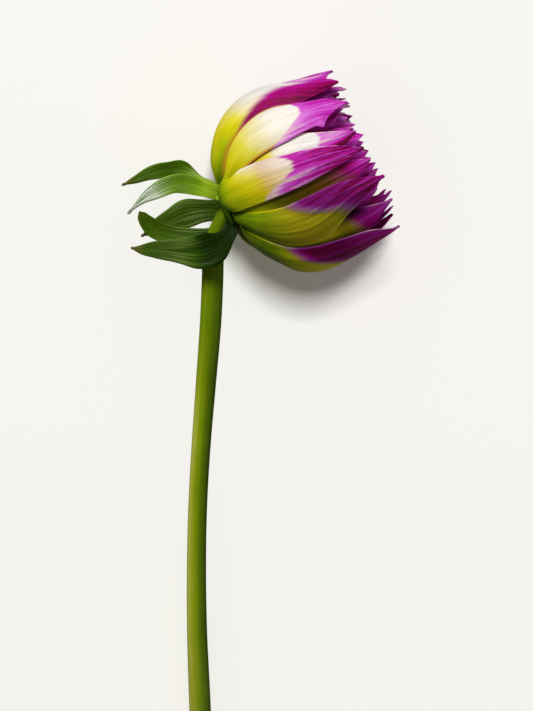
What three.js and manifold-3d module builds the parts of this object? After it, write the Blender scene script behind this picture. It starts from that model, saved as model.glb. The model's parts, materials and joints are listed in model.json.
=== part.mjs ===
// Half-open pompon dahlia on a cut stem, lying on its side. Millimetres, +Z up.
// The origin is the middle of the small flat spot the bloom rests on. The bloom
// lies with its axis level and turned 24 degrees from +X towards +Y, the stem
// runs along -Y, and five green bracts bend back from the base of the bloom.
import * as THREE from "three";
import { mergeVertices } from "three/addons/utils/BufferGeometryUtils.js";
import ManifoldModule from "manifold-3d";

const wasm = await ManifoldModule();
wasm.setup();
const { Manifold, Mesh: SolidMesh } = wasm;
const rad = THREE.MathUtils.degToRad;
const lerp = THREE.MathUtils.lerp;
const clamp01 = (x) => THREE.MathUtils.clamp(x, 0, 1);

// ---------------------------------------------------------------- driving dimensions
const AXIS_TURN = 24; // degrees from +X to the bloom's axis, seen from above
const AXIS_HEIGHT = 25.6; // height of the bloom's axis over the surface
const SPOT_ALONG = 20.25; // from the bloom's base to the rest spot, along the axis
const BASE_RADIUS = 6.75; // where the petals leave the receptacle
const SHOULDER_RADIUS = 19; // roundness of the bud between its base and its widest ring
const EQUATOR_ALONG = 18.4; // the widest ring, from the base
const BUD_RADIUS = BASE_RADIUS + SHOULDER_RADIUS; // 51.5 mm across
const MOUTH_TAPER = 0.0085; // how fast the bud narrows past its widest ring
const PETAL_LENGTH = 51.4; // of a guard petal, along its curve
const GUARD_THICKNESS = 1.0;
const LAYER_STEP = 1.0; // a petal of the second ring lies this much deeper
const GAP = 0.35; // between neighbouring pieces
const INNER_COUNT = 86;
const INNER_LENGTH_OUT = 39; // where the outermost inner petals end, along the axis
const INNER_LENGTH_MID = 35.5; // where the middle ones end
const INNER_THICKNESS = 0.8;
const GOLDEN_ANGLE = 137.508;
const RECEPTACLE_RADIUS = 7;
const RECEPTACLE_DEPTH = 1.8;
const BRACT_THICKNESS = 0.9;
const STEM_SIDES = 18;

const COLOURS = {
  guard: "#c3c42c",
  inner: "#a3127f",
  bract: "#3f6a0c",
  stem: "#6f8a12",
};

// ---------------------------------------------------------------- the bloom's own frame
const ALONG = new THREE.Vector3(Math.cos(rad(AXIS_TURN)), Math.sin(rad(AXIS_TURN)), 0);
const ASIDE = new THREE.Vector3(-Math.sin(rad(AXIS_TURN)), Math.cos(rad(AXIS_TURN)), 0);
const UP = new THREE.Vector3(0, 0, 1);
const BASE = ALONG.clone().multiplyScalar(-SPOT_ALONG).setZ(AXIS_HEIGHT);
const BLOOM = new THREE.Matrix4().makeBasis(UP, ALONG, ASIDE).setPosition(BASE);

// A point of the bloom: distance along its axis, radius, and angle from straight up.
function bloomPoint(along, radius, angle) {
  const turn = rad(angle);
  const point = new THREE.Vector3(radius * Math.cos(turn), along, radius * Math.sin(turn));
  return point.applyMatrix4(BLOOM);
}

// The bud's outline: `run` is the distance along a petal from its root.
const SHOULDER_RUN = (SHOULDER_RADIUS * Math.PI) / 2;
function outline(run) {
  if (run < SHOULDER_RUN) {
    const turn = run / SHOULDER_RADIUS;
    return {
      along: EQUATOR_ALONG - SHOULDER_RADIUS * Math.cos(turn),
      radius: BASE_RADIUS + SHOULDER_RADIUS * Math.sin(turn),
      tilt: turn,
    };
  }
  const past = run - SHOULDER_RUN;
  return {
    along: EQUATOR_ALONG + past,
    radius: BUD_RADIUS - MOUTH_TAPER * past * past,
    tilt: Math.PI / 2 + Math.atan(2 * MOUTH_TAPER * past),
  };
}

// The point `lift` above (or below) the outline.
function budPoint(run, angle, lift) {
  const o = outline(run);
  return bloomPoint(
    o.along - lift * Math.cos(o.tilt),
    o.radius + lift * Math.sin(o.tilt),
    angle,
  );
}

// Smooth curve through rows of numbers whose first number is the position.
function through(rows, at) {
  let i = 0;
  while (i < rows.length - 2 && at > rows[i + 1][0]) i++;
  const [a, b] = [rows[i], rows[i + 1]];
  const before = rows[Math.max(i - 1, 0)];
  const after = rows[Math.min(i + 2, rows.length - 1)];
  const span = b[0] - a[0];
  const k = clamp01((at - a[0]) / span);
  return a.map((_, n) => {
    const slopeA = b[0] === before[0] ? 0 : (b[n] - before[n]) / (b[0] - before[0]);
    const slopeB = after[0] === a[0] ? 0 : (after[n] - a[n]) / (after[0] - a[0]);
    const k2 = k * k;
    const k3 = k2 * k;
    return (
      (2 * k3 - 3 * k2 + 1) * a[n] +
      (k3 - 2 * k2 + k) * span * slopeA +
      (-2 * k3 + 3 * k2) * b[n] +
      (k3 - k2) * span * slopeB
    );
  });
}

function seeded(seed) {
  let state = seed;
  return () => {
    state = (state * 1664525 + 1013904223) % 4294967296;
    return state / 4294967296;
  };
}

// ---------------------------------------------------------------- solids
// A closed geometry as a solid: shared vertices merged, collapsed faces dropped.
function solid(geometry) {
  const bare = new THREE.BufferGeometry();
  bare.setAttribute("position", geometry.getAttribute("position"));
  bare.setIndex(geometry.getIndex());
  const merged = mergeVertices(bare, 1e-4);
  const vertProperties = new Float32Array(merged.getAttribute("position").array);
  const index = merged.getIndex().array;
  const faces = [];
  for (let i = 0; i < index.length; i += 3) {
    const [a, b, c] = index.subarray(i, i + 3);
    if (a !== b && b !== c && c !== a) faces.push([a, b, c]);
  }
  const asSolid = (list) =>
    new Manifold(new SolidMesh({ numProp: 3, vertProperties, triVerts: Uint32Array.from(list.flat()) }));
  const made = asSolid(faces);
  return made.volume() > 0 ? made : asSolid(faces.map(([a, b, c]) => [a, c, b]));
}

// A closed blade from a grid of points on its outer face and the point of its tip.
// Both faces are split into triangles alike, so its thickness stays even.
function blade(grid, tip, thickness) {
  const rows = grid.length;
  const cols = grid[0].length;
  const at = (i, j) => (i < rows ? grid[i][j] : tip);
  const inner = grid.map((row, i) =>
    row.map((p, j) => {
      const across = at(i, Math.min(j + 1, cols - 1)).clone().sub(at(i, Math.max(j - 1, 0)));
      const down = at(i + 1, j).clone().sub(at(Math.max(i - 1, 0), j));
      return p.clone().addScaledVector(across.cross(down).normalize(), thickness);
    }),
  );
  const middle = cols >> 1;
  const inward = inner[rows - 1][middle].clone().sub(grid[rows - 1][middle]);
  const innerTip = tip.clone().addScaledVector(inward, 0.75);
  const points = [...grid.flat(), tip, ...inner.flat(), innerTip];
  const under = rows * cols + 1;
  const faces = [];
  const quad = (a, b, c, d) => faces.push([a, b, c], [a, c, d]);
  for (let i = 0; i < rows - 1; i++)
    for (let j = 0; j < cols - 1; j++) {
      const [a, b] = [i * cols + j, i * cols + j + 1];
      const [c, d] = [b + cols, a + cols];
      quad(a, d, c, b);
      faces.push([under + a, under + c, under + d], [under + a, under + b, under + c]);
    }
  const last = (rows - 1) * cols;
  for (let j = 0; j < cols - 1; j++) {
    faces.push([last + j, rows * cols, last + j + 1]);
    faces.push([under + last + j, under + last + j + 1, under + rows * cols]);
  }
  const rim = [];
  for (let j = 0; j < cols; j++) rim.push(j);
  for (let i = 1; i < rows; i++) rim.push(i * cols + cols - 1);
  rim.push(rows * cols);
  for (let i = rows - 1; i > 0; i--) rim.push(i * cols);
  rim.forEach((a, n) => {
    const b = rim[(n + 1) % rim.length];
    quad(a, b, under + b, under + a);
  });
  const geometry = new THREE.BufferGeometry().setFromPoints(points);
  geometry.setIndex(faces.flat());
  return solid(geometry);
}

// Joins the pieces, keeps the one body they make and leaves no sealed hollow in it.
function fuse(pieces) {
  const bodies = Manifold.union(pieces).decompose();
  const volumes = bodies.map((body) => body.volume());
  return bodies[volumes.indexOf(Math.max(...volumes))];
}

// A body turned about the bloom's axis from its profile of [along, radius].
function turned(profile, sides) {
  const first = profile[0][0];
  const last = profile[profile.length - 1][0];
  const points = [[first, 0], ...profile, [last, 0]];
  const lathe = new THREE.LatheGeometry(
    points.map(([along, radius]) => new THREE.Vector2(radius, along)),
    sides,
  );
  return solid(lathe.applyMatrix4(BLOOM));
}

// ---------------------------------------------------------------- guard petals
// Each row: run from the root, lower and upper edge as angles round the bloom,
// lift off the bud's outline, and how much more the lower edge is lifted.
// The last row is the tip. The nine petals on the upper, visible side:
const SHOWN_PETALS = {
  top_back: [
    [0, 84, 120, -1, 0], [14, 78, 128, -1, 0], [22, 74, 130, -1, 0], [31, 72, 128, -0.9, 0],
    [40, 74, 114, -0.2, 0], [46, 79, 103, 0.2, 0], [51, 88, 88, 0.3, 0],
  ],
  top: [
    [0, 40, 82, 0, 0], [7, 36, 90, 0.6, 0], [14, 42, 98, 0.4, 0], [22, 44, 101, 0.1, 0],
    [31, 44, 96, 0, 0], [40, 45, 72, 0, 0], [46, 48, 64, 0, 0], [50.8, 56, 56, 0, 0],
  ],
  upper: [
    [0, 18, 38, 0, 0], [8, 16, 32, 0, 0], [14, 17.5, 41, 0.2, 0], [22, 18.7, 46, 0.4, 0],
    [31, 19.5, 47.8, 0.4, 0], [38, 21, 43, 0.3, 0], [42.5, 19.5, 40.5, 0.3, 0.4],
    [46, 24.5, 39, 0.2, 0.2], [50.5, 32, 32, 0.1, 0],
  ],
  between_upper: [
    [0, 2, 30, -1, 0], [14, -1, 29, -1, 0], [31, -3, 25, -1, 0], [40, 0, 18, -0.9, 0],
    [45, 3.5, 14, -0.7, 0], [49.4, 9.5, 9.5, -0.6, 0],
  ],
  middle: [
    [0, -8, 32, 0, 0], [8, -11, 27, 0.4, 0], [14, -9, 21, 0.5, 0], [22, -7.5, 16.6, 0.4, 0],
    [31, -9.3, 12, 0.2, 0], [39, -9.3, 8.5, 0, 0], [45, -6.5, 3, 0, 0], [48.8, -3, -3, 0, 0],
  ],
  between_lower: [
    [0, -28, 0, -1, 0], [14, -28, 0, -1, 0], [31, -28, 0, -1, 0], [39, -25, -3, -1, 0],
    [45, -20, -7, -0.9, 0], [50.1, -12, -12, -0.8, 0],
  ],
  lower: [
    [0, -38, -14, 0, 0], [8, -33, -14, 0, 0], [14, -39.5, -14.5, 0.2, 0], [22, -47, -16.7, 0.4, 0],
    [31, -47.3, -14.9, 0.3, 0], [39, -38.5, -15.8, 0.1, 0], [45, -33, -19.6, 0, 0],
    [51.5, -27.5, -27.5, 0, 0],
  ],
  lower_back: [
    [0, -68, -36, -1, 0], [14, -70, -36, -1, 0], [31, -72, -34, -1, 0], [39, -67, -37, -0.9, 0],
    [45, -61, -43, -0.7, 0], [51.4, -51, -51, -0.6, 0],
  ],
  flared: [
    [0, -86, -50, 0, 0], [8, -84, -43, 0, -0.3], [15.5, -87, -46, 0.2, -1], [20, -88, -49, 0.4, 0],
    [25, -89, -50, 0.8, 1.4], [30, -90, -51, 1.2, 2.6], [36, -89, -53, 1.6, 2.5],
    [42, -87, -57, 1.8, 1.2], [46, -85, -66, 1.9, 0.4], [49.8, -80, -80, 1.9, 0],
  ],
};

// The petals on the side that lies down: middle angle, lift, and half the width in degrees.
const HIDDEN_OUTER = [134, 180, 228];
const HIDDEN_INNER = [110, 157, 204, 252];
const HIDDEN_HALF_WIDTH = 22;
const REST_LIFT = 0.35; // the lowest petal bulges a little, so its flat spot is long

function petalOutline(middle, halfWidth, lift, wander, length) {
  const shape = [
    [0, 0.75], [8, 0.72], [14, 0.86], [22, 1], [31, 1], [40, 0.78], [46, 0.45],
  ];
  const rows = shape.map(([run, part]) => {
    const centre = middle + (wander * run) / length;
    return [run, centre - halfWidth * part, centre + halfWidth * part, lift, 0];
  });
  rows.push([length, middle + wander, middle + wander, lift, 0]);
  return rows;
}

function guardPetal(rows) {
  const length = rows[rows.length - 1][0];
  const steps = [0, 0.1, 0.2, 0.31, 0.42, 0.53, 0.64, 0.74, 0.83, 0.91, 0.965];
  const cells = 5;
  const grid = steps.map((part) => {
    const [run, low, high, lift, lean] = through(rows, part * length);
    return Array.from({ length: cells + 1 }, (_, j) => {
      const v = (2 * j) / cells - 1;
      const side = lean * 0.5 * (1 - v);
      return budPoint(run, lerp(low, high, j / cells), lift + side);
    });
  });
  const [run, low, , lift] = rows[rows.length - 1];
  return blade(grid, budPoint(run, low, lift), GUARD_THICKNESS);
}

function outerPetals() {
  const random = seeded(11);
  const petals = Object.values(SHOWN_PETALS).map(guardPetal);
  HIDDEN_OUTER.forEach((middle) => {
    const lift = middle === 180 ? REST_LIFT : 0.1;
    const wander = (random() - 0.5) * 8;
    const length = PETAL_LENGTH - 2 * random();
    petals.push(guardPetal(petalOutline(middle, HIDDEN_HALF_WIDTH, lift, wander, length)));
  });
  HIDDEN_INNER.forEach((middle) => {
    const wander = (random() - 0.5) * 8;
    const length = PETAL_LENGTH - 1.5 * random();
    petals.push(
      guardPetal(petalOutline(middle, HIDDEN_HALF_WIDTH, -LAYER_STEP, wander, length)),
    );
  });
  // The cup all guard petals grow from.
  const outside = [0, 3, 6, 9, 12].map((run) => outline(run));
  const cup = [
    [outside[0].along + 0.2, 4],
    ...outside.map((o) => [o.along + 0.3 * Math.cos(o.tilt), o.radius - 0.3 * Math.sin(o.tilt)]),
    ...outside.map((o) => [o.along + 2 * Math.cos(o.tilt), o.radius - 2 * Math.sin(o.tilt)]).reverse(),
    [outside[0].along + 2, 4],
  ];
  return fuse([turned(cup, 40), ...petals]).trimByPlane([0, 0, 1], 0);
}

// ---------------------------------------------------------------- inner petals
const CORE_DEPTH = LAYER_STEP + GUARD_THICKNESS + GAP + 0.25;
const CORE_RIM_ALONG = 29; // where the core turns in to its low dome
const CORE_TOP_ALONG = 32;

function innerPetals() {
  const random = seeded(5);
  const inside = [0, 5, 10, 15, 20, 25, 30, 35].map((run) => outline(run));
  const side = inside.map((o) => [
    o.along + CORE_DEPTH * Math.cos(o.tilt),
    o.radius - CORE_DEPTH * Math.sin(o.tilt),
  ]);
  const rim = side[side.length - 1][1];
  const core = turned(
    [
      [side[0][0], 4],
      ...side,
      [CORE_RIM_ALONG, rim - 1.2],
      [CORE_RIM_ALONG + 1.6, rim * 0.72],
      [CORE_TOP_ALONG, rim * 0.35],
    ],
    36,
  );
  const petals = [];
  for (let k = 0; k < INNER_COUNT; k++) {
    const share = Math.sqrt((k + 0.7) / INNER_COUNT); // 0 in the middle, 1 at the outside
    const angle = GOLDEN_ANGLE * k + 6 * (random() - 0.5);
    petals.push(innerPetal(share, angle, random));
  }
  return fuse([core, ...petals]);
}

// One inner petal: a narrow cupped blade that rises from the core along the axis.
function innerPetal(share, angle, random) {
  const mouth = BUD_RADIUS - MOUTH_TAPER * 400 - CORE_DEPTH - 0.2;
  const radius = mouth * share;
  const half = lerp(1.7, 4.3, share);
  const end = lerp(INNER_LENGTH_MID, INNER_LENGTH_OUT, share) + 1.6 * (random() - 0.5);
  const root = lerp(CORE_TOP_ALONG - 3, 22, share * share);
  const lean = lerp(0.3, 0, share);
  const rows = [
    [0, 0.85], [0.42, 1], [0.72, 0.74],
  ];
  const point = (part, v) => {
    const along = lerp(root, end, part);
    const bulge = MOUTH_TAPER * (along - EQUATOR_ALONG) ** 2 - MOUTH_TAPER * 400;
    const r = Math.max(radius - bulge * share - lean * part * radius, 0.4);
    const out = half * v;
    const sunk = 0.35 * half * v * v * (1.3 - share);
    const turn = THREE.MathUtils.radToDeg(Math.atan2(out, Math.max(r - sunk, 0.3)));
    return bloomPoint(along, Math.hypot(r - sunk, out), angle + turn);
  };
  const grid = rows.map(([part, width]) => [-1, 0, 1].map((v) => point(part, v * width)));
  return blade(grid, point(1, 0), INNER_THICKNESS);
}

// ---------------------------------------------------------------- bracts
// Each row: middle of the blade (x, y, z), half its width, and its twist in
// degrees: 0 shows its whole width from above, 90 shows its edge.
const BRACTS = {
  upper: [
    [-23.4, -3.3, 23.2, 2.4, 70], [-24.6, -1.7, 23.4, 2.6, 70], [-27.2, -0.5, 23.2, 2.7, 68],
    [-29.8, 0.6, 22.8, 2.8, 55], [-32.6, 1.5, 22.4, 2.6, 30], [-35.4, 1.6, 22, 2.3, 14],
    [-38.2, 1.2, 21.6, 2.1, 10], [-41.2, 0.4, 21.2, 1.7, 8], [-44.8, -1.2, 20.8, 1.1, 6],
    [-48.6, -2.7, 20.4, 0, 6],
  ],
  facing: [
    [-22.4, -5.1, 30.4, 2, 0], [-24.6, -4.6, 31, 2.1, -6], [-27.1, -3.9, 31, 2.4, -8],
    [-30.4, -2.9, 30.5, 2.6, -8], [-33.6, -2.7, 29.6, 2.65, -6], [-36.9, -3.6, 28.4, 2.5, -4],
    [-40.1, -5.1, 27, 1.9, 0], [-43.3, -7.3, 25.6, 1, 0], [-46.8, -10.7, 24.2, 0, 0],
  ],
  behind: [
    [-20.7, -9.2, 19.4, 2.6, 0], [-23.9, -9.4, 17.6, 3, 4], [-27.7, -9.6, 16.6, 3.4, 6],
    [-31.6, -10.3, 16, 3.8, 8], [-35.6, -12, 15.6, 3, 6], [-38.8, -13.7, 15.2, 2.1, 4],
    [-41.2, -15.2, 15, 1.1, 0], [-43.4, -16.4, 14.8, 0, 0],
  ],
  low: [
    [-18.3, -14.4, 23, 2.4, -40], [-20.6, -15.4, 19.6, 2.2, -25], [-24.6, -16, 17.8, 1.9, -10],
    [-28.7, -16.5, 17.4, 2.2, 0], [-32.6, -16.4, 17.4, 2.5, 4], [-36.4, -15.7, 17.8, 2.7, 6],
    [-39.7, -14.4, 18.2, 2.5, 4], [-42, -12.5, 18.6, 1.7, 0], [-43.2, -10.8, 18.8, 0.9, 0],
    [-43.9, -9.8, 19, 0, 0],
  ],
  large: [
    [-18.4, -14.1, 29.8, 2, 0], [-19.9, -16.9, 30.2, 2.4, 4], [-23, -19.6, 30, 4.6, 8],
    [-27.2, -20.8, 29.4, 4.6, 10], [-31.2, -20.8, 28.8, 3.8, 8], [-35.2, -20.5, 28, 3, 6],
    [-39.3, -20.3, 27, 2.2, 4], [-42.8, -20.3, 26.2, 1.4, 0], [-45.9, -19.8, 25.8, 0, 0],
  ],
};
const BRACT_BOW = 0.22; // depth of a bract's channel, as a share of its half width
const BRACT_SPACING = 72;
const FIRST_BRACT = 40;

function bract(rows, rootAngle) {
  const centres = rows.map(([x, y, z]) => new THREE.Vector3(x, y, z));
  const curve = new THREE.CatmullRomCurve3(centres, false, "centripetal");
  const grid = rows.slice(0, -1).map(([, , , half, twist], i) => {
    const tangent = curve.getTangent(i / (rows.length - 1));
    const flat = new THREE.Vector3().crossVectors(tangent, UP).normalize();
    const steep = new THREE.Vector3().crossVectors(flat, tangent).normalize();
    const across = flat
      .clone()
      .multiplyScalar(Math.cos(rad(twist)))
      .addScaledVector(steep, Math.sin(rad(twist)));
    const normal = new THREE.Vector3().crossVectors(across, tangent).normalize();
    return [-1, -0.5, 0, 0.5, 1].map((v) =>
      centres[i]
        .clone()
        .addScaledVector(across, half * v)
        .addScaledVector(normal, BRACT_BOW * half * (v * v - 0.5)),
    );
  });
  // The foot of the bract, sunk in the receptacle.
  const foot = [-1, -0.5, 0, 0.5, 1].map((v) =>
    bloomPoint(-2.25, 5.8, rootAngle + 18 * v),
  );
  const first = grid[0];
  const crossed = first[0].distanceTo(foot[0]) > first[0].distanceTo(foot[4]);
  return blade([crossed ? foot.reverse() : foot, ...grid], centres[centres.length - 1], BRACT_THICKNESS);
}

function bracts() {
  const top = outline(0).along - GAP;
  const receptacle = turned(
    [
      [top - RECEPTACLE_DEPTH, 4.4],
      [top - 0.8 * RECEPTACLE_DEPTH, RECEPTACLE_RADIUS - 0.8],
      [top - 0.5 * RECEPTACLE_DEPTH, RECEPTACLE_RADIUS],
      [top, RECEPTACLE_RADIUS - 1],
    ],
    32,
  );
  const order = ["facing", "upper", "behind", "low", "large"];
  const blades = order.map((name, k) => bract(BRACTS[name], FIRST_BRACT + BRACT_SPACING * k));
  return fuse([receptacle, ...blades]);
}

// ---------------------------------------------------------------- stem
// Each row: middle of the stem (x, y, z) and its radius.
const STEM = [
  [-22.7, -16.4, 24.6, 2.6], [-23.6, -21, 23, 2.95], [-23.8, -28, 21.2, 2.97],
  [-24.4, -40.4, 19.2, 2.95], [-25.7, -56.6, 16.6, 2.8], [-27, -72.9, 14, 2.65],
  [-28, -90, 11.2, 2.62], [-28.4, -107, 8.3, 2.68], [-28.3, -124, 5.7, 2.8],
  [-27.7, -141, 3.8, 2.98], [-27.2, -153.5, 2.95, 3.02],
];
const NECK_RADIUS = 2.4;

function stem() {
  const top = outline(0).along - GAP - RECEPTACLE_DEPTH - GAP;
  const neck = [
    [top + 0.4, 1.4, NECK_RADIUS + 0.1], [top - 1.5, 3.2, NECK_RADIUS],
  ].map(([along, drop, radius]) => {
    const p = bloomPoint(along, drop, -90);
    return [p.x, p.y, p.z, radius];
  });
  const rows = [...neck, ...STEM];
  const centres = rows.map(([x, y, z]) => new THREE.Vector3(x, y, z));
  const radii = rows.map((row, n) => [n, row[3]]);
  const curve = new THREE.CatmullRomCurve3(centres, false, "centripetal");
  const rod = new THREE.CylinderGeometry(1, 1, 1, STEM_SIDES, 2 * (rows.length - 1));
  const place = rod.getAttribute("position");
  for (let i = 0; i < place.count; i++) {
    const u = 0.5 - place.getY(i);
    const tangent = u === 0 ? ALONG.clone().negate() : curve.getTangent(u);
    const right = new THREE.Vector3().crossVectors(tangent, UP).normalize();
    const over = new THREE.Vector3().crossVectors(right, tangent).normalize();
    const radius = through(radii, u * (rows.length - 1))[1];
    const p = curve
      .getPoint(u)
      .addScaledVector(right, radius * place.getX(i))
      .addScaledVector(over, radius * place.getZ(i));
    place.setXYZ(i, p.x, p.y, p.z);
  }
  // Its head is cut square to the bloom's axis, and its underside rests on the surface.
  return solid(rod)
    .trimByPlane(ALONG.clone().negate().toArray(), -(BASE.dot(ALONG) + top))
    .trimByPlane([0, 0, 1], 0);
}

// ---------------------------------------------------------------- the part
function mesh(name, body, colour, roughness) {
  const { vertProperties, numProp, triVerts } = body.getMesh();
  const count = vertProperties.length / numProp;
  const positions = new Float32Array(count * 3);
  for (let i = 0; i < count; i++)
    positions.set(vertProperties.subarray(i * numProp, i * numProp + 3), i * 3);
  const geometry = new THREE.BufferGeometry();
  geometry.setAttribute("position", new THREE.BufferAttribute(positions, 3));
  geometry.setIndex(new THREE.BufferAttribute(new Uint32Array(triVerts), 1));
  const flat = geometry.toNonIndexed();
  flat.computeVertexNormals();
  const made = new THREE.Mesh(
    flat,
    new THREE.MeshStandardMaterial({ color: colour, roughness, metalness: 0 }),
  );
  made.name = name;
  return made;
}

const part = new THREE.Group();
part.name = "pompon_dahlia";
part.add(mesh("stem", stem(), COLOURS.stem, 0.5));
part.add(mesh("bracts", bracts(), COLOURS.bract, 0.4));
part.add(mesh("outer_petals", outerPetals(), COLOURS.guard, 0.55));
part.add(mesh("inner_petals", innerPetals(), COLOURS.inner, 0.55));

export default part;
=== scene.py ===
import json
import math

import bpy
import numpy as np
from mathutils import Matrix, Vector

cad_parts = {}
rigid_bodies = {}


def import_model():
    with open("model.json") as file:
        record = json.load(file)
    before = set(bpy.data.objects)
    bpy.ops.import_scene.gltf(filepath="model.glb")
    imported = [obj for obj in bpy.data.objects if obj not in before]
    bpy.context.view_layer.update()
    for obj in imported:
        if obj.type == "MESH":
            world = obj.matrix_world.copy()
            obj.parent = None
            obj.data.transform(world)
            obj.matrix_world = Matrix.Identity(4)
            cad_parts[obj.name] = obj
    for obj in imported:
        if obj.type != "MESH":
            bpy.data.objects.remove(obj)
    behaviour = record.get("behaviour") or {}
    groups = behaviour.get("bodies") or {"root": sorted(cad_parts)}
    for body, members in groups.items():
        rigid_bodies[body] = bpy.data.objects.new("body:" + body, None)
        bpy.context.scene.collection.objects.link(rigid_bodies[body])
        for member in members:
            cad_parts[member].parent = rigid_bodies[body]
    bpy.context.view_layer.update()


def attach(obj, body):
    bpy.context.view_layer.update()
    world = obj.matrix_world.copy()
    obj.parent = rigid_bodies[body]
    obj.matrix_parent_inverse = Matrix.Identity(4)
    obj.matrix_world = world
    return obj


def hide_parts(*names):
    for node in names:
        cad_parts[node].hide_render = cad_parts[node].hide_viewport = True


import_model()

MM = 0.001
BODY = "root"

# ---------------- driving dimensions, mm and degrees
AXIS_TURN = 24  # from +X to the bloom's axis, seen from above
AXIS_HEIGHT = 25.6  # of the bloom's axis over the surface
SPOT_ALONG = 20.25  # from the bloom's base to its rest spot, along the axis
BASE_RADIUS = 6.75  # of the ring where the outline starts
SHOULDER_RADIUS = 19  # of the round back of the outline
EQUATOR_ALONG = 18.4  # from the base to the widest ring
BUD_RADIUS = BASE_RADIUS + SHOULDER_RADIUS
MOUTH_TAPER = 0.0085  # what the outline draws in by, times the square of the way past the equator
MOUTH_PAST = 20  # from the widest ring to the mouth
PETAL_LENGTH = 51.4
LAYER_STEP = 1.0  # between the two rings of guard petals
GAP = 0.35  # between neighbouring solids
RECEPTACLE_RADIUS = 7
RECEPTACLE_DEPTH = 1.8
RECEPTACLE_ROUND = 2  # how far its edges round off
CUP_REACH = 12  # of a petal's run that the cup lies under
CUP_DEPTH = (0.3, 2)  # of its outside under the outline, at its base and beyond
CUP_WALL = 2.25
HUB_RADIUS = 4  # of the hole in the cup and of the flat foot of the core
INNER_COUNT = 86
INNER_ROOT = (29, 22)  # along the axis, for the middle ones and the outer ones
INNER_END = (35.5, 39)
INNER_HALF_WIDTH = (1.7, 4.3)
INNER_LEAN = 0.3  # how much of their radius the middle ones lean in by
INNER_CURL = 0.9  # how far an outer one's tip is drawn out or in, as a span
INNER_TWIST = 10  # degrees that a tip is turned within
INNER_TINT = 0.3  # the span of their hues
INNER_SHAPE = [(0, 0.85), (0.42, 1), (0.68, 0.84), (0.82, 0.5), (0.92, 0.2), (1, 0)]
GOLDEN_ANGLE = 137.508
CORE_DEPTH = 2.6  # under the outline
CORE_REACH = 35  # of a petal's run that the core's side lies under
CORE_RIM_ALONG = 29
CORE_TOP_ALONG = 32
BRACT_BOW = 0.22  # height of a bract's cross arch, as a share of half its width
BRACT_FOLD, BRACT_KEEL = 0.03, 0.12  # height of its long folds, depth of its middle groove
BRACT_WAVE = 0.05  # of its width, along its edges
BRACT_LENGTH = 28

# Fineness of the finished surfaces.
PETAL_CELLS = (66, 32)  # along, across
INNER_CELLS = (20, 10)
BRACT_CELLS = (56, 16)
STEM_CELLS = (220, 48)
RING_SIDES = 96
INNER_WHORLS = 8

# Thickness of the blades at their edges and along their middle.
PETAL_THICKNESS = (0.14, 0.5)
INNER_THICKNESS = (0.16, 0.46)
BRACT_THICKNESS = (0.15, 0.5)

# The camera, straight over the flower, and how much its picture shows from top to bottom.
CAMERA_AT = (-9.18, -48.87, 1100)
PICTURE_HEIGHT = 191.97  # mm at the height of the bloom's axis
SENSOR = 36
CLIP = (0.01, 20)  # metres

# ---------------- the bloom's own frame
TURN = math.radians(AXIS_TURN)
ALONG = np.array([math.cos(TURN), math.sin(TURN), 0])
ASIDE = np.array([-math.sin(TURN), math.cos(TURN), 0])
UP = np.array([0.0, 0, 1])
BASE = -SPOT_ALONG * ALONG + AXIS_HEIGHT * UP
SHOULDER_RUN = SHOULDER_RADIUS * math.pi / 2


def bloom_point(along, radius, angle):
    """Points of the bloom: distance along its axis, radius, and angle from straight up."""
    turn = np.radians(angle)
    along, side, rise = np.broadcast_arrays(along, radius * np.sin(turn), radius * np.cos(turn))
    return BASE + along[..., None] * ALONG + side[..., None] * ASIDE + rise[..., None] * UP


def outline(run):
    """The bud's outline at a distance along a petal from its root: along, radius, tilt."""
    turn = min(run, SHOULDER_RUN) / SHOULDER_RADIUS
    past = max(run - SHOULDER_RUN, 0)
    along = EQUATOR_ALONG - SHOULDER_RADIUS * math.cos(turn) + past
    radius = BASE_RADIUS + SHOULDER_RADIUS * math.sin(turn) - MOUTH_TAPER * past * past
    return along, radius, turn + math.atan(2 * MOUTH_TAPER * past)


def bud_point(run, angle, lift):
    """The points `lift` above the outline."""
    along, radius, tilt = outline(run)
    return bloom_point(along - lift * math.cos(tilt), radius + lift * math.sin(tilt), angle)


def under_outline(run, depth):
    """The point `depth` below the outline: along, radius."""
    along, radius, tilt = outline(run)
    return along + depth * math.cos(tilt), radius - depth * math.sin(tilt)


# ---------------- numbers
def between(start, end, share):
    """start where the share is 0, end where it is 1."""
    return start + (end - start) * share


def smooth(x, low=0.0, high=1.0):
    """0 below low, 1 above high, and a smooth step between them."""
    k = np.clip((np.asarray(x, float) - low) / (high - low), 0, 1)
    return k * k * (3 - 2 * k)


def bump(x, middle, width):
    """A round bump of height 1."""
    return np.exp(-(((x - middle) / width) ** 2))


def thinned(v, edge, middle):
    """A blade's thickness at the places v across it, from -1 to 1."""
    return between(edge, middle, 1 - v**4)


def hermite(k, start, leave, end, arrive):
    """A cubic curve between two points, with its slopes at both, k from 0 to 1."""
    return (
        (2 * k**3 - 3 * k**2 + 1) * start + (k**3 - 2 * k**2 + k) * leave
        + (3 * k**2 - 2 * k**3) * end + (k**3 - k**2) * arrive
    )


def through(rows, at):
    """Smooth curve through rows of numbers whose first number is the position."""
    i = 0
    while i < len(rows) - 2 and at > rows[i + 1][0]:
        i += 1
    picks = (max(i - 1, 0), i, i + 1, min(i + 2, len(rows) - 1))
    before, a, b, after = (np.array(rows[pick], float) for pick in picks)
    span = b[0] - a[0]
    k = min(max((at - a[0]) / span, 0), 1)
    leave = span * (b - before) / (b[0] - before[0])
    arrive = span * (after - a) / (after[0] - a[0])
    return hermite(k, a, leave, b, arrive)


def seeded(seed):
    """Repeatable draws between 0 and 1."""
    state = seed

    def draw():
        nonlocal state
        state = (state * 1664525 + 1013904223) % 4294967296
        return state / 4294967296

    return draw


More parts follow.
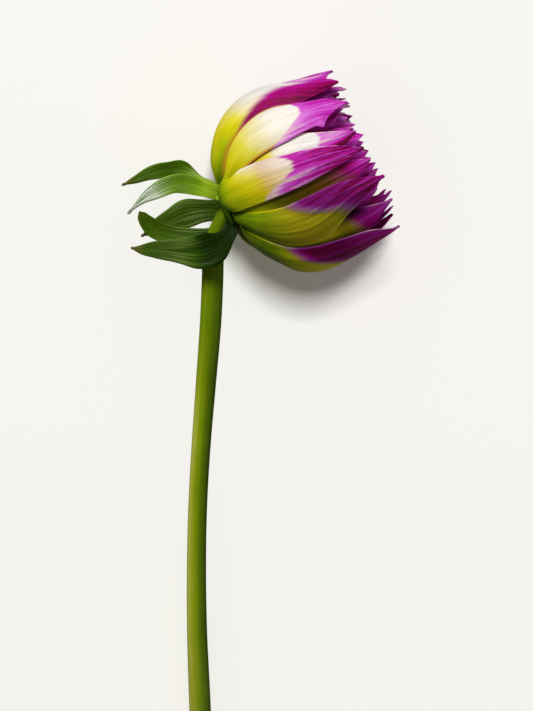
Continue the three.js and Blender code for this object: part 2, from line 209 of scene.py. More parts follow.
# ---------------- meshes
def ring_faces(rings, sides, closed=False):
    """Faces between rings of points, which close on themselves or else have flat ends."""
    faces = []
    for i in range(rings if closed else rings - 1):
        k = (i + 1) % rings
        for j in range(sides):
            n = (j + 1) % sides
            faces.append([i * sides + j, i * sides + n, k * sides + n, k * sides + j])
    if not closed:
        end = (rings - 1) * sides
        faces += [list(range(sides))[::-1], list(range(end, end + sides))]
    return faces


class Surface:
    """Gathers points in millimetres, faces, and a number per point for each named field."""

    FIELDS = (
        "along", "across", "ripe", "flush", "ragged", "hue", "streaky", "rim", "dim", "inside", "seed",
    )

    def __init__(self):
        self.points = []
        self.faces = []
        self.fields = {name: [] for name in self.FIELDS}

    def add(self, points, faces, fields):
        """Adds one closed body, with its faces turned outwards."""
        points = np.asarray(points, float)
        count = sum(len(p) for p in self.points)
        volume = 0.0
        for face in faces:
            a = points[face[0]]
            for b, c in zip(face[1:-1], face[2:]):
                volume += np.dot(a, np.cross(points[b], points[c]))
        if volume < 0:
            faces = [face[::-1] for face in faces]
        self.points.append(points)
        self.faces += [[count + i for i in face] for face in faces]
        for name in self.FIELDS:
            values = np.broadcast_to(fields.get(name, 0.0), (len(points),))
            self.fields[name].append(values)

    def blade(self, grid, tip, thickness, looks):
        """A closed thin blade behind rows of points on its outer face, closed at its tip.

        looks has the fields of each row, as one number or one for each point.
        """
        grid = np.array(grid)
        rows, cols = grid.shape[:2]
        ahead = np.concatenate([grid[1:], np.broadcast_to(tip, (1, cols, 3))])
        behind = np.concatenate([grid[:1], grid[:-1]])
        right = np.concatenate([grid[:, 1:], grid[:, -1:]], axis=1)
        left = np.concatenate([grid[:, :1], grid[:, :-1]], axis=1)
        inward = np.cross(right - left, ahead - behind)
        inward /= np.maximum(np.linalg.norm(inward, axis=2, keepdims=True), 1e-9)
        inner = grid + inward * thickness[:, None]
        middle = cols // 2
        inner_tip = tip + 0.5 * (inner[-1, middle] - grid[-1, middle])
        points = np.concatenate([grid.reshape(-1, 3), [tip], inner.reshape(-1, 3), [inner_tip]])
        under = rows * cols + 1
        faces = []
        for i in range(rows - 1):
            for j in range(cols - 1):
                a, b = i * cols + j, i * cols + j + 1
                c, d = b + cols, a + cols
                faces += [[a, d, c, b], [under + a, under + b, under + c, under + d]]
        last = (rows - 1) * cols
        for j in range(cols - 1):
            faces.append([last + j, rows * cols, last + j + 1])
            faces.append([under + last + j, under + last + j + 1, under + rows * cols])
        edge = list(range(cols)) + [i * cols + cols - 1 for i in range(1, rows)]
        edge += [rows * cols] + [i * cols for i in range(rows - 1, 0, -1)]
        for a, b in zip(edge, edge[1:] + edge[:1]):
            faces.append([a, b, under + b, under + a])
        fields = {}
        for name in self.FIELDS:
            value = np.array([look.get(name, 0.0) + np.zeros(cols) for look in looks])
            face = np.append(value.reshape(-1), value[-1, middle])
            fields[name] = np.concatenate([face, face])
        fields["inside"] = np.repeat([0.0, 1.0], under)
        self.add(points, faces, fields)

    def turned(self, profile, fields, closed=False):
        """A body turned about the bloom's axis from its profile of (along, radius)."""
        angles = np.arange(RING_SIDES) * 360 / RING_SIDES
        rings = [bloom_point(along, radius, angles) for along, radius in profile]
        spread = {
            name: np.repeat(value, RING_SIDES) if np.ndim(value) else value
            for name, value in fields.items()
        }
        self.add(np.concatenate(rings), ring_faces(len(rings), RING_SIDES, closed), spread)

    def build(self, name, node, slot, material):
        """Makes the object, which stands for a node of the frame."""
        mesh = bpy.data.meshes.new(name)
        points = np.concatenate(self.points)
        points[:, 2] = np.maximum(points[:, 2], 0)
        mesh.from_pydata((points * MM).tolist(), [], self.faces)
        mesh.polygons.foreach_set("use_smooth", np.ones(len(mesh.polygons), bool))
        for field, values in self.fields.items():
            attribute = mesh.attributes.new(field, "FLOAT", "POINT")
            attribute.data.foreach_set("value", np.concatenate(values).astype(np.float32))
        mesh.materials.append(material)
        mesh.validate()
        piece = bpy.data.objects.new(name, mesh)
        bpy.context.scene.collection.objects.link(piece)
        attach(piece, BODY)
        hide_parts(node)


# ---------------- materials
class Nodes:
    """A material's node tree, built by short calls. Their values are numbers or outputs."""

    def __init__(self, name, **constants):
        self.material = bpy.data.materials.new(name)
        self.material.use_nodes = True
        self.tree = self.material.node_tree
        self.shader = self.tree.nodes["Principled BSDF"]
        for socket, value in constants.items():
            self.shader.inputs[socket.replace("_", " ")].default_value = value

    def join(self, value, socket):
        if hasattr(value, "is_output"):
            self.tree.links.new(value, socket)
        else:
            socket.default_value = value

    def new(self, kind, inputs, **settings):
        """A node with its settings, and its inputs by name or number."""
        node = self.tree.nodes.new("ShaderNode" + kind)
        for name, value in settings.items():
            setattr(node, name, value)
        for key, value in inputs.items():
            self.join(value, node.inputs[key])
        return node

    def field(self, name):
        return self.new("Attribute", {}, attribute_name=name).outputs["Fac"]

    def math(self, operation, a, b=0.0):
        return self.new("Math", {0: a, 1: b}, operation=operation).outputs[0]

    def add(self, value, extra, share):
        """The value plus a share of another one."""
        return self.math("ADD", value, self.math("MULTIPLY", extra, share))

    def vary(self, value, noise, amount):
        """The value, moved up and down by a noise."""
        return self.add(value, self.math("SUBTRACT", noise, 0.5), amount)

    def remap(self, value, low, high, to_low=0.0, to_high=1.0):
        """A smooth step of the value between low and high."""
        inputs = dict(enumerate((value, low, high, to_low, to_high)))
        return self.new("MapRange", inputs, interpolation_type="SMOOTHSTEP").outputs["Result"]

    def noise(self, place, scale, detail, roughness):
        """Smooth noise, in 0 to 1."""
        inputs = {"Vector": place, "Scale": scale, "Detail": detail, "Roughness": roughness}
        return self.new("TexNoise", inputs).outputs["Fac"]

    def streaks(self, across, along, detail=3.0):
        """Noise in a piece's own directions, by its waves a unit across and a mm along."""
        scales = {"across": across, "along": along, "seed": 1.0}
        inputs = {
            axis: self.math("MULTIPLY", self.field(name), scale)
            for axis, (name, scale) in zip("XYZ", scales.items())
        }
        return self.noise(self.new("CombineXYZ", inputs).outputs[0], 1.0, detail, 0.55)

    def grain(self, fineness, detail=2.0):
        """Noise in space, by its waves a metre."""
        return self.noise(self.new("TexCoord", {}).outputs["Object"], fineness, detail, 0.5)

    def ramp(self, value, stops):
        node = self.new("ValToRGB", {"Fac": value})
        elements = node.color_ramp.elements
        while len(elements) < len(stops):
            elements.new(0.5)
        for element, (position, colour) in zip(elements, stops):
            element.position = position
            element.color = (*colour, 1)
        return node.outputs["Color"]

    def mix(self, share, a, b, blend="MIX"):
        """Colour b over colour a, each an output or three numbers."""
        a, b = (value if hasattr(value, "is_output") else (*value, 1) for value in (a, b))
        inputs = {"Factor": share, 6: a, 7: b}
        return self.new("Mix", inputs, data_type="RGBA", blend_type=blend).outputs[2]

    def relief(self, height, distance, strength):
        inputs = {"Height": height, "Distance": distance, "Strength": strength}
        self.join(self.new("Bump", inputs).outputs["Normal"], self.shader.inputs["Normal"])

    def finish(self, colour, roughness):
        self.join(colour, self.shader.inputs["Base Color"])
        self.join(roughness, self.shader.inputs["Roughness"])
        return self.material


# Petal colours from root to tip, before the magenta.
RIPE = [
    (0.00, (0.035, 0.075, 0.001)), (0.14, (0.16, 0.25, 0.001)), (0.32, (0.38, 0.43, 0.001)),
    (0.48, (0.62, 0.55, 0.003)), (0.62, (0.70, 0.63, 0.06)), (0.78, (0.75, 0.66, 0.36)),
    (1.00, (0.79, 0.75, 0.69)),
]
# The magenta, from its palest to its deepest.
MAGENTA = [
    (0.00, (0.76, 0.50, 0.48)), (0.10, (0.68, 0.29, 0.60)), (0.20, (0.60, 0.12, 0.56)),
    (0.40, (0.50, 0.020, 0.40)), (0.60, (0.42, 0.003, 0.24)), (0.80, (0.27, 0.001, 0.08)),
    (1.00, (0.11, 0.0005, 0.03)),
]
RIM_BROWN = (0.52, 0.20, 0.015)
GREYS = [(0.0, (0, 0, 0)), (1.0, (1, 1, 1))]
# The bracts' greens, and their pale streaks, both from dark to light.
BRACT_GREENS = [
    (0.0, (0.008, 0.024, 0.0005)), (0.25, (0.026, 0.065, 0.001)), (0.5, (0.065, 0.140, 0.002)),
    (0.75, (0.15, 0.27, 0.004)), (1.0, (0.36, 0.52, 0.02)),
]
BRACT_STREAKS = [(0.0, (0.34, 0.54, 0.03)), (0.5, (0.66, 0.82, 0.36)), (1.0, (0.94, 1.0, 0.86))]
BRACT_TIP = (0.16, 0.09, 0.02)
STEM_GREENS = [
    (0.0, (0.045, 0.085, 0.001)), (0.35, (0.10, 0.165, 0.001)), (0.6, (0.165, 0.235, 0.002)),
    (0.85, (0.25, 0.30, 0.01)), (1.0, (0.36, 0.38, 0.05)),
]
STEM_BROWN = (0.21, 0.16, 0.045)
CUT_FACE = (0.55, 0.60, 0.30)
FLOOR_DARK, FLOOR_LIGHT = (0.8, 0.795, 0.78), (0.94, 0.93, 0.895)


def petal_material(name, fineness):
    nodes = Nodes(name, IOR=1.42, Specular_IOR_Level=0.09)
    broad = nodes.streaks(fineness, 0.035)
    fine = nodes.streaks(4 * fineness, 0.12, 2.0)
    lines = nodes.streaks(3.2 * fineness, 0.05, 2.0)
    streak = nodes.add(nodes.math("MULTIPLY", broad, 0.65), fine, 0.35)
    wander = nodes.math("SUBTRACT", streak, 0.5)
    mottle = nodes.math("SUBTRACT", nodes.grain(260), 0.5)

    ripe = nodes.add(nodes.field("ripe"), wander, 0.11)
    ripe = nodes.add(ripe, mottle, 0.1)
    ground = nodes.mix(nodes.field("rim"), nodes.ramp(ripe, RIPE), RIM_BROWN)

    # The magenta starts along a ragged front, and broad and thin pale lines run through it.
    pale = nodes.remap(lines, 0.44, 0.6, -0.4, 0.6)
    uneven = nodes.add(wander, pale, -0.12)
    front = nodes.add(nodes.field("flush"), uneven, nodes.field("ragged"))
    off_line = nodes.math("ABSOLUTE", nodes.math("SUBTRACT", lines, 0.5))
    pale = nodes.math("ADD", pale, nodes.remap(off_line, 0.0, 0.028, 1.0, 0.0))
    hue = nodes.add(nodes.field("hue"), wander, 0.9)
    hue = nodes.math("SUBTRACT", hue, nodes.math("MULTIPLY", pale, nodes.field("streaky")))
    hue = nodes.add(hue, mottle, 0.12)
    hue = nodes.add(hue, nodes.field("inside"), 0.18)
    colour = nodes.mix(nodes.remap(front, -1.0, 1.0), ground, nodes.ramp(hue, MAGENTA))

    veins = nodes.remap(fine, 0.35, 0.65, 0.9, 1.02)
    # The veins darken the colour a little, and the painted shade darkens it where a petal lies in shade.
    lit = nodes.math("MULTIPLY", veins, nodes.math("SUBTRACT", 1.0, nodes.field("dim")))
    colour = nodes.mix(1.0, colour, nodes.ramp(lit, GREYS), "MULTIPLY")
    nodes.relief(nodes.add(fine, nodes.grain(1800), 0.35), 0.00018, 0.5)
    return nodes.finish(colour, nodes.remap(fine, 0.3, 0.7, 0.56, 0.44))


def bract_material():
    nodes = Nodes("bract", IOR=1.45, Specular_IOR_Level=0.07)
    veins = nodes.streaks(9.0, 0.05, 1.0)
    fine = nodes.streaks(26.0, 0.3, 2.0)
    vein = nodes.remap(veins, 0.5, 0.62)
    light = nodes.add(nodes.field("ripe"), vein, 0.1)
    light = nodes.vary(light, fine, 0.16)
    light = nodes.vary(light, nodes.grain(400), 0.1)
    # The pale streaks are pale veins, and partly a painted highlight near the 'facing' bract's tip.
    pale = nodes.field("flush")
    streaks = nodes.math("MULTIPLY", nodes.remap(veins, 0.44, 0.54), pale)
    colour = nodes.mix(streaks, nodes.ramp(light, BRACT_GREENS), nodes.ramp(pale, BRACT_STREAKS))
    colour = nodes.mix(nodes.field("rim"), colour, BRACT_TIP)
    nodes.relief(nodes.add(nodes.math("MULTIPLY", vein, 0.7), fine, 0.5), 0.0002, 0.7)
    return nodes.finish(colour, nodes.remap(fine, 0.3, 0.7, 0.38, 0.26))


def stem_material():
    nodes = Nodes("stem", IOR=1.45, Specular_IOR_Level=0.05)
    cords = nodes.streaks(8.0, 0.02, 2.0)
    fine = nodes.streaks(30.0, 0.15, 2.0)
    patches = nodes.grain(60, 3.0)
    green = nodes.vary(nodes.field("ripe"), cords, 0.5)
    green = nodes.vary(green, fine, 0.25)
    green = nodes.vary(green, patches, 0.4)
    brown = nodes.math("MULTIPLY", nodes.field("rim"), nodes.remap(patches, 0.42, 0.62, 0.35, 1.0))
    colour = nodes.mix(brown, nodes.ramp(green, STEM_GREENS), STEM_BROWN)
    colour = nodes.mix(nodes.field("inside"), colour, CUT_FACE)
    nodes.relief(nodes.add(cords, fine, 0.6), 0.0002, 0.5)
    return nodes.finish(colour, nodes.remap(fine, 0.3, 0.7, 0.5, 0.38))


def floor_material():
    nodes = Nodes(
        "floor", Specular_IOR_Level=0.1, Emission_Color=(1, 0.93, 0.78, 1), Emission_Strength=0.07,
    )
    shade = nodes.remap(nodes.grain(40), 0.0, 1.0, 0.985, 1.0)
    return nodes.finish(nodes.mix(shade, FLOOR_DARK, FLOOR_LIGHT), 0.9)


# ---------------- guard petals
# rows: run from the root, lower and upper edge as angles round the bloom, lift off the
# bud's outline, and how much more the lower edge is lifted; the last row is the tip.
# ripe: (run, ripeness) from green over yellow to white; on the petals that lie in shade it is
# set low as painted shade, and raised in places as painted light. greener: what the lower
# edge takes off it; riper: what the upper half adds to it. front: the run where the magenta
# begins, from the lower to the upper edge; soft: half the width of that change; ragged: how
# far streaks carry it. hue: depth of the magenta at its front and at the tip; deeper: what
# the lower edge adds to both; blush: how much paler it begins; streaky: how much paler its
# streaks are; lines: pale ridges, as places across. rim: brown margins, lower and upper;
# rim_from: the place across where they begin; tan: (run, share) of the same brown over the
# whole width; edge: pale margins. dim: (run, share) of painted shade that darkens the petal
# where it is magenta; shaded: (run, share at the lower and at the upper half) of painted
# shade, in any colour. tuck: how far the edges dip; belly: the swell between them; heel: how
# far the root bulges back over the receptacle.
PLAIN_LOOK = {
    "ripe": [(0, 0.2), (8, 0.32), (16, 0.46), (24, 0.62), (31, 0.8), (50, 0.95)],
    "greener": 0, "riper": 0, "front": (25, 28, 31, 28, 25), "soft": 1.2, "ragged": 3.5,
    "hue": (0.35, 0.6), "deeper": (0, 0), "blush": 0.1, "streaky": 0.1, "lines": (-0.3, 0.3),
    "rim": (0, 0), "rim_from": 0.76, "tan": [(0, 0), (50, 0)], "edge": (0.3, 0.3),
    "dim": [(0, 0), (50, 0)], "shaded": [(0, 0, 0), (50, 0, 0)],
    "tuck": (0.5, 0.4), "belly": 0.7, "heel": 1,
}
SUNK_LOOK = {**PLAIN_LOOK, "tuck": (0, 0), "belly": 0.3, "heel": 0}
PETALS = {
    "top_back": {
        **SUNK_LOOK,
        "rows": [
            (0, 84, 120, -1, 0), (14, 78, 128, -1, 0), (22, 72, 130, -1, 0), (31, 62, 128, -1, 0),
            (38, 55, 118, -0.9, 0), (43, 52, 108, -0.8, 0), (47, 56, 98, -0.4, 0), (51, 86, 86, 0.1, 0),
        ],
        "ripe": [(0, 0.2), (12, 0.4), (24, 0.75), (34, 0.95), (51, 1)],
        "front": (28, 30, 31, 30, 29), "ragged": 3, "hue": (0.16, 0.42), "lines": (-0.2, 0.4),
    },
    "top": {
        **PLAIN_LOOK,
        "rows": [
            (0, 28, 82, 0, 0), (7, 30, 90, 0.6, 0), (14, 40, 98, 0.4, 0), (22, 44, 101, 0.1, 0),
            (31, 44, 94, 0, 0), (40, 45, 68, 0, 0), (46, 48, 63, 0, 0), (49, 51, 60.5, 0, 0),
            (50.8, 55.5, 55.5, 0, 0),
        ],
        "ripe": [(0, 0.10), (7, 0.33), (13, 0.47), (20, 0.66), (26, 0.95), (50, 1)], "greener": 0.3,
        "front": (16.5, 28.5, 34.8, 40.5, 43), "soft": 2.5, "ragged": 4,
        "hue": (0.58, 0.76), "deeper": (0.28, 0.2), "lines": (0.45,),
        "rim": (0.9, 0), "rim_from": 0.66, "tuck": (1.3, 0.3), "heel": 0.5,
    },
    "upper": {
        **PLAIN_LOOK,
        "rows": [
            (0, 18, 38, 0, 0), (8, 16, 32, 0, 0), (14, 17.5, 41, 0.2, 0), (22, 18.7, 46, 0.4, 0),
            (31, 19.5, 47.8, 0.4, 0), (36.5, 20.9, 44, 0.3, 0.1), (40.2, 21, 41.7, 0.3, 0.4),
            (41.6, 18.2, 41, 0.3, 1.0), (43, 22.4, 40.5, 0.3, 0.4), (46, 27.3, 39, 0.2, 0.2),
            (50.5, 32, 32, 0.1, 0),
        ],
        "ripe": [(0, 0.14), (6, 0.3), (12, 0.44), (18, 0.56), (24, 0.75), (31, 0.97), (50, 1)],
        "greener": 0.08, "front": (27, 34, 37.3, 37.8, 36), "soft": 0.6, "ragged": 1.2,
        "hue": (0.38, 0.3), "deeper": (-0.26, 0.02), "streaky": 0.16, "lines": (),
        "rim": (0.95, 1), "rim_from": 0.82, "edge": (0, 0), "heel": 0.6,
    },
    "between_upper": {
        **SUNK_LOOK,
        "rows": [
            (0, 2, 30, -1, 0), (14, -1, 29, -0.9, 0), (31, -3, 25, -0.9, 0), (40, 0, 18, -0.8, 0),
            (45, 3.5, 14, -0.6, 0), (49.4, 9.5, 9.5, -0.5, 0),
        ],
        "ripe": [(0, 0.3), (12, 0.42), (20, 0.48), (25, 0.62), (28, 0.95), (50, 1)],
        "front": (34, 37, 38.5, 39.8, 39.3), "soft": 0.6, "ragged": 1.2,
        "hue": (0.15, 0.6), "deeper": (1, 1), "blush": 0, "lines": (0.2,),
        "rim": (0.3, 0.9), "tan": [(0, 0.5), (20, 0.45), (26, 0.08), (50, 0)],
    },
    "middle": {
        **PLAIN_LOOK,
        "rows": [
            (0, -8, 32, 0, 0), (8, -11, 27, 0.4, 0), (14, -9.6, 21, 0.5, 0), (22, -9, 16.6, 0.4, 0),
            (31, -8.7, 12, 0.2, 0), (39, -7.2, 8.5, 0, 0), (45, -5.4, 3, 0, 0), (48.8, -3, -3, 0, 0),
        ],
        "ripe": [
            (0, 0.03), (5, 0.14), (10, 0.35), (17.5, 0.48), (20, 0.54), (22, 0.69), (28, 0.84),
            (48, 0.9),
        ],
        "greener": 0.1, "riper": 0.28,
        "front": (19, 21, 24, 27.3, 29.3, 30.5, 30.1, 28.4, 26.5), "soft": 0.9, "ragged": 5,
        "hue": (0.6, 0.92), "deeper": (-0.62, -0.28), "streaky": 0.36, "lines": (-0.35, 0.25),
        "tan": [(0, 0), (18, 0.05), (22, 0.42), (27, 0.27), (32, 0.1), (50, 0)], "edge": (0.2, 0.6),
        # Painted shade darkens the magenta a little towards the tip.
        "dim": [(0, 0), (24, 0), (34, 0.14), (48, 0.14)],
        "tuck": (0.2, 0.5), "belly": 0.6, "heel": 2,
    },
    "between_lower": {
        **SUNK_LOOK,
        "rows": [
            (0, -28, 0, -0.6, 0), (12, -28, 0, -0.8, 0), (20, -28, 0, -1.2, 0),
            (31, -28, 0, -1.6, 0), (39, -25, -3, -1.3, 0), (45, -20, -7, -0.9, 0),
            (50.1, -12, -12, -0.6, 0),
        ],
        # Painted shade: this petal lies in the shade of its neighbours, so its ripeness is kept low and
        # it is darkened by its shaded share; the ripeness is raised near runs 12 to 17 as painted light.
        "ripe": [(0, 0.10), (12, 0.26), (17, 0.28), (21, 0.16), (28, 0.06), (34, 0.03), (50, 0.1)],
        "front": (41, 40.5, 39, 37.5, 37), "soft": 5, "ragged": 5,
        "hue": (0.95, 0.45), "streaky": 0.2, "lines": (0.1,),
        "tan": [(0, 0), (14, 0.02), (22, 0.2), (28, 0.42), (36, 0.6), (50, 0.1)],
        "shaded": [
            (0, 0, 0), (14, 0, 0), (22, 0.55, 0.55), (36, 0.65, 0.65), (43, 0.25, 0.25), (50, 0, 0),
        ],
    },
    "lower": {
        **PLAIN_LOOK,
        "rows": [
            (0, -38, -14, 0, 0), (8, -33, -14, 0, 0), (14, -39.5, -15, 0.2, 0), (22, -47, -16.4, 0.4, 0),
            (31, -47.3, -16, 0.3, 0), (39, -38.5, -16.2, 0.1, 0), (45, -33, -19.7, 0, 0),
            (51.5, -27.5, -27.5, 0, 0),
        ],
        # Painted shade: as this petal faces away from the light, its ripeness is kept low and its
        # magenta is darkened.
        "ripe": [(0, 0.03), (10, 0.1), (20, 0.18), (26, 0.28), (34, 0.26), (44, 0.24), (51, 0.6)],
        "greener": -0.02, "front": (39.5, 38.3, 35.5, 28.5, 24), "soft": 2, "ragged": 5,
        "hue": (0.65, 0.7), "deeper": (0.05, 0.15), "blush": 0.5, "streaky": 0.26, "lines": (-0.1, 0.45),
        "tan": [(0, 0), (16, 0.05), (26, 0.34), (36, 0.24), (50, 0)], "edge": (0.4, 0.25),
        "dim": [(0, 0.1), (20, 0.6), (36, 0.6), (45, 0.35), (51, 0)],
        "tuck": (0.6, 0.5), "heel": 0.6,
    },
    "lower_back": {
        **SUNK_LOOK,
        "rows": [
            (0, -68, -36, -0.7, 0), (14, -70, -36, -1, 0), (31, -72, -34, -1.4, 0),
            (39, -67, -37, -1.1, 0), (45, -61, -43, -0.8, 0), (51.4, -51, -51, -0.6, 0),
        ],
        # Painted light and shade: its ripeness is raised near run 32, where it lies in shade, and its
        # upper half is darkened beside the lower petal's edge.
        "ripe": [(0, 0.05), (14, 0.15), (27, 0.3), (32, 0.58), (36, 0.28), (50, 0.4)],
        "front": (41.5, 40.5, 39.5, 38, 36), "soft": 2, "ragged": 4,
        "hue": (0.75, 0.25), "lines": (0.1,), "tan": [(0, 0), (24, 0), (32, 0.2), (40, 0.3), (50, 0)],
        "shaded": [(0, 0, 0), (28, 0, 0.5), (36, 0, 0.97), (41, 0, 0.97), (45, 0, 0.3), (48, 0, 0)],
    },
    "flared": {
        **PLAIN_LOOK,
        "rows": [
            (0, -86, -50, -0.3, 0), (8, -84, -43, -0.2, -0.3), (15.5, -87, -46, 0.2, -0.8),
            (20, -88, -49, 0.4, 0), (25, -89, -50, 0.8, 0), (30, -90, -51, 1.2, -0.3),
            (36, -89, -53, 1.6, -0.9), (42, -87, -57, 1.8, -1), (46, -85, -66, 1.9, -0.6),
            (49.8, -80, -80, 1.9, 0),
        ],
        # Painted shade: as this petal faces down, away from the light, its root is kept dark and its
        # magenta is darkened.
        "ripe": [(0, 0.07), (8, 0.09), (14, 0.12), (21, 0.38), (26, 0.55), (42, 0.6), (50, 0.6)],
        "greener": -0.1, "front": (38, 35, 30, 23, 19), "soft": 2.4, "ragged": 4,
        "hue": (0.88, 0.5), "deeper": (-0.3, -0.1), "blush": 0.55, "lines": (0.5,), "edge": (0.1, 0.6),
        "dim": [(0, 0.1), (16, 0.12), (26, 0.3), (34, 0.55), (40, 0.3), (50, 0)],
        "tuck": (0, 0.9), "belly": 0.5, "heel": 0.3,
    },
}
# The unseen side: middle angle, lift, how much shorter at most, and look. 180 is the rest spot.
HIDDEN = [
    (134, 0.1, 2, PLAIN_LOOK), (180, 0.35, 2, PLAIN_LOOK), (228, 0.1, 2, PLAIN_LOOK),
    *((middle, -LAYER_STEP, 1.5, SUNK_LOOK) for middle in (110, 157, 204, 252)),
]
# Run from the root, and share of the half width.
HIDDEN_SHAPE = [(0, 0.75), (8, 0.72), (14, 0.86), (22, 1), (31, 1), (40, 0.78), (46, 0.45)]
HIDDEN_HALF_WIDTH = 22
HIDDEN_WANDER = 8  # degrees that a tip is turned within
HEEL_RISE, HEEL_FALL = (0, 2.5), (4, 12)  # runs over which a petal's heel swells and sinks
FURROW_DEPTH = (0.03, 0.19)  # at the root and towards the tip
RIPPLES, RIPPLE_HEIGHT = 9, 0.04
STREAK_TURN = 15  # degrees round the bloom to one unit across a guard petal
STREAK_WIDTH = 8  # mm to one unit across an inner petal


def hidden_rows(middle, lift, wander, length):
    """The rows of a plain pointed petal."""
    rows = []
    for run, part in HIDDEN_SHAPE:
        centre = middle + wander * run / length
        half = HIDDEN_HALF_WIDTH * part
        rows.append((run, centre - half, centre + half, lift, 0))
    return [*rows, (length, middle + wander, middle + wander, lift, 0)]


def middle_line(rows, run):
    """The angle of a petal's middle line, without the short bends of its edges."""
    places = np.clip(run + np.array([-8, -4, 0, 4, 8]), 0, rows[-1][0])
    return np.mean([(row[1] + row[2]) / 2 for row in (through(rows, place) for place in places)])


def at_edges(shares, v, start, end=1.0):
    """The lower and the upper edge's shares, each fading out from `end` across to `start`."""
    return shares[0] * smooth(-v, start, end) + shares[1] * smooth(v, start, end)


def petal_rise(look, run, part, v, seed):
    """How far a petal's points at one run stand off its plain sheet."""
    swell = math.sin(math.pi * min(part * 1.05, 1)) ** 0.8
    belly = look["belly"] * swell * (1 - v * v - 0.35)
    heel = smooth(run, *HEEL_RISE) * (1 - smooth(run, *HEEL_FALL)) * (1 - 0.4 * v * v)
    rise = belly + look["heel"] * heel - swell * at_edges(look["tuck"], v, 0.35)
    furrow = between(*FURROW_DEPTH, smooth(part, 0.25, 0.9))
    for line in look["lines"]:
        rise = rise + furrow * (bump(v, line, 0.10) - 0.6 * bump(v, line - 0.16, 0.12))
    ripple = RIPPLE_HEIGHT * np.sin(RIPPLES * math.pi * v + seed)
    return rise + ripple * smooth(part, 0.1, 0.6)


def petal_colours(look, run, part, v, length):
    """The fields that colour a petal's points at one run."""
    front = np.interp(v, np.linspace(-1, 1, len(look["front"])), look["front"])
    beyond = run - front
    margin = at_edges(look["edge"], v, 0.88)
    ripe = through(look["ripe"], run)[1] - look["greener"] * smooth(-v, 0.1, 1)
    ripe = ripe + look["riper"] * smooth(v, -0.1, 0.9) * smooth(part, 0.14, 0.36)
    hue = between(*look["hue"], smooth(beyond, 0, length - front.min()))
    hue = hue + between(*look["deeper"], smooth(beyond, 0, 14)) * smooth(-v, -0.3, 0.9)
    hue = hue - look["blush"] * bump(beyond, 0.5, 2.5)
    ridge = sum(bump(v, line, 0.045) for line in look["lines"])
    belt = smooth(part, 0.1, 0.25) * (1 - smooth(part, 0.62, 0.8))
    rim = belt * at_edges(look["rim"], v, look["rim_from"], 0.95)
    # Painted shade: the darkening on the magenta, and the shaded share, which darkens any colour.
    _, shade_low, shade_high = through(look["shaded"], run)
    shade = between(shade_low, shade_high, smooth(v, 0.1, 0.8))
    return {
        "ripe": ripe + margin * smooth(part, 0.05, 0.3),
        "flush": beyond / look["soft"],
        "ragged": look["ragged"] / look["soft"],
        "hue": hue - 0.3 * ridge * smooth(part, 0.4, 0.6) - margin,
        "streaky": look["streaky"] * smooth(beyond, 0, 6),
        "rim": np.maximum(rim, through(look["tan"], run)[1]),
        "dim": np.clip(through(look["dim"], run)[1] * smooth(beyond, -4, 1) + shade, 0, 0.95),
    }


def guard_petal(look, seed):
    """One petal, its rows closer together towards the tip."""
    rows = look["rows"]
    length, tip_angle, _, tip_lift, _ = rows[-1]
    cells_along, cells_across = PETAL_CELLS
    v = np.linspace(-1, 1, cells_across + 1)
    grid, looks = [], []
    for part in 1 - (1 - np.linspace(0, 1, cells_along + 1)[:-1]) ** 1.15:
        run, low, high, lift, lean = through(rows, part * length)
        angle = between(low, high, (v + 1) / 2)
        rise = petal_rise(look, run, part, v, seed)
        grid.append(bud_point(run, angle, lift + lean * 0.5 * (1 - v) + rise))
        looks.append({
            "along": run, "across": (angle - middle_line(rows, run)) / STREAK_TURN, "seed": seed,
            **petal_colours(look, run, part, v, length),
        })
    petal = Surface()
    petal.blade(grid, bud_point(length, tip_angle, tip_lift), thinned(v, *PETAL_THICKNESS), looks)
    return petal


def petal_cup(material):
    """The shallow cup that both rings of guard petals grow from."""
    runs = range(CUP_REACH + 1)
    base = outline(0)[0]
    outside = [under_outline(run, between(*CUP_DEPTH, float(smooth(run, 0, 3)))) for run in runs]
    inside = [under_outline(run, CUP_WALL) for run in runs[::-1]]
    cup = Surface()
    profile = [(base + 0.2, HUB_RADIUS), *outside, *inside, (base + CUP_WALL, HUB_RADIUS)]
    cup.turned(profile, {"ripe": 0.24, "flush": -9.0}, closed=True)
    cup.build("guard_petal_cup", "outer_petals", "guard_petal", material)


def guard_petals(material):
    shown = dict(PETALS)
    random = seeded(11)
    for middle, lift, shorter, look in HIDDEN:
        wander = HIDDEN_WANDER * (random() - 0.5)
        length = PETAL_LENGTH - shorter * random()
        shown[f"under_{middle}"] = {**look, "rows": hidden_rows(middle, lift, wander, length)}
    for number, (name, look) in enumerate(shown.items()):
        petal = guard_petal(look, 3.7 * number + 1)
        petal.build("guard_petal_" + name, "outer_petals", "guard_petal", material)
    petal_cup(material)


# ---------------- inner petals
def inner_petals(material):
    random = seeded(5)
    whorls = [Surface() for _ in range(INNER_WHORLS)]
    for number in range(INNER_COUNT):
        share = math.sqrt((number + 0.7) / INNER_COUNT)
        angle = GOLDEN_ANGLE * number + 6 * (random() - 0.5)
        whorl = whorls[number * INNER_WHORLS // INNER_COUNT]
        inner_petal(whorl, share, angle, random, number)
    for number, whorl in enumerate(whorls):
        whorl.build(f"inner_whorl_{number + 1}", "inner_petals", "inner_petal", material)
    inner_core(material)


def inner_core(material):
    """The smaller core that the inner petals stand out of, with a low dome."""
    side = [under_outline(run, CORE_DEPTH) for run in range(CORE_REACH + 1)]
    foot, rim = side[0][0], side[-1][1]
    profile = [
        (foot, HUB_RADIUS), *side, (CORE_RIM_ALONG, rim - 1.2),
        (CORE_RIM_ALONG + 1.6, rim * 0.72), (CORE_TOP_ALONG, rim * 0.35),
    ]
    along = np.array([place for place, _ in profile])
    core = Surface()
    core.turned(profile, {
        "along": along, "ripe": 0.2 + 0.3 * smooth(along, 0, 25), "flush": (along - 22) / 3,
        "hue": 0.8, "ragged": 1.0,
    })
    core.build("inner_core", "inner_petals", "inner_petal", material)


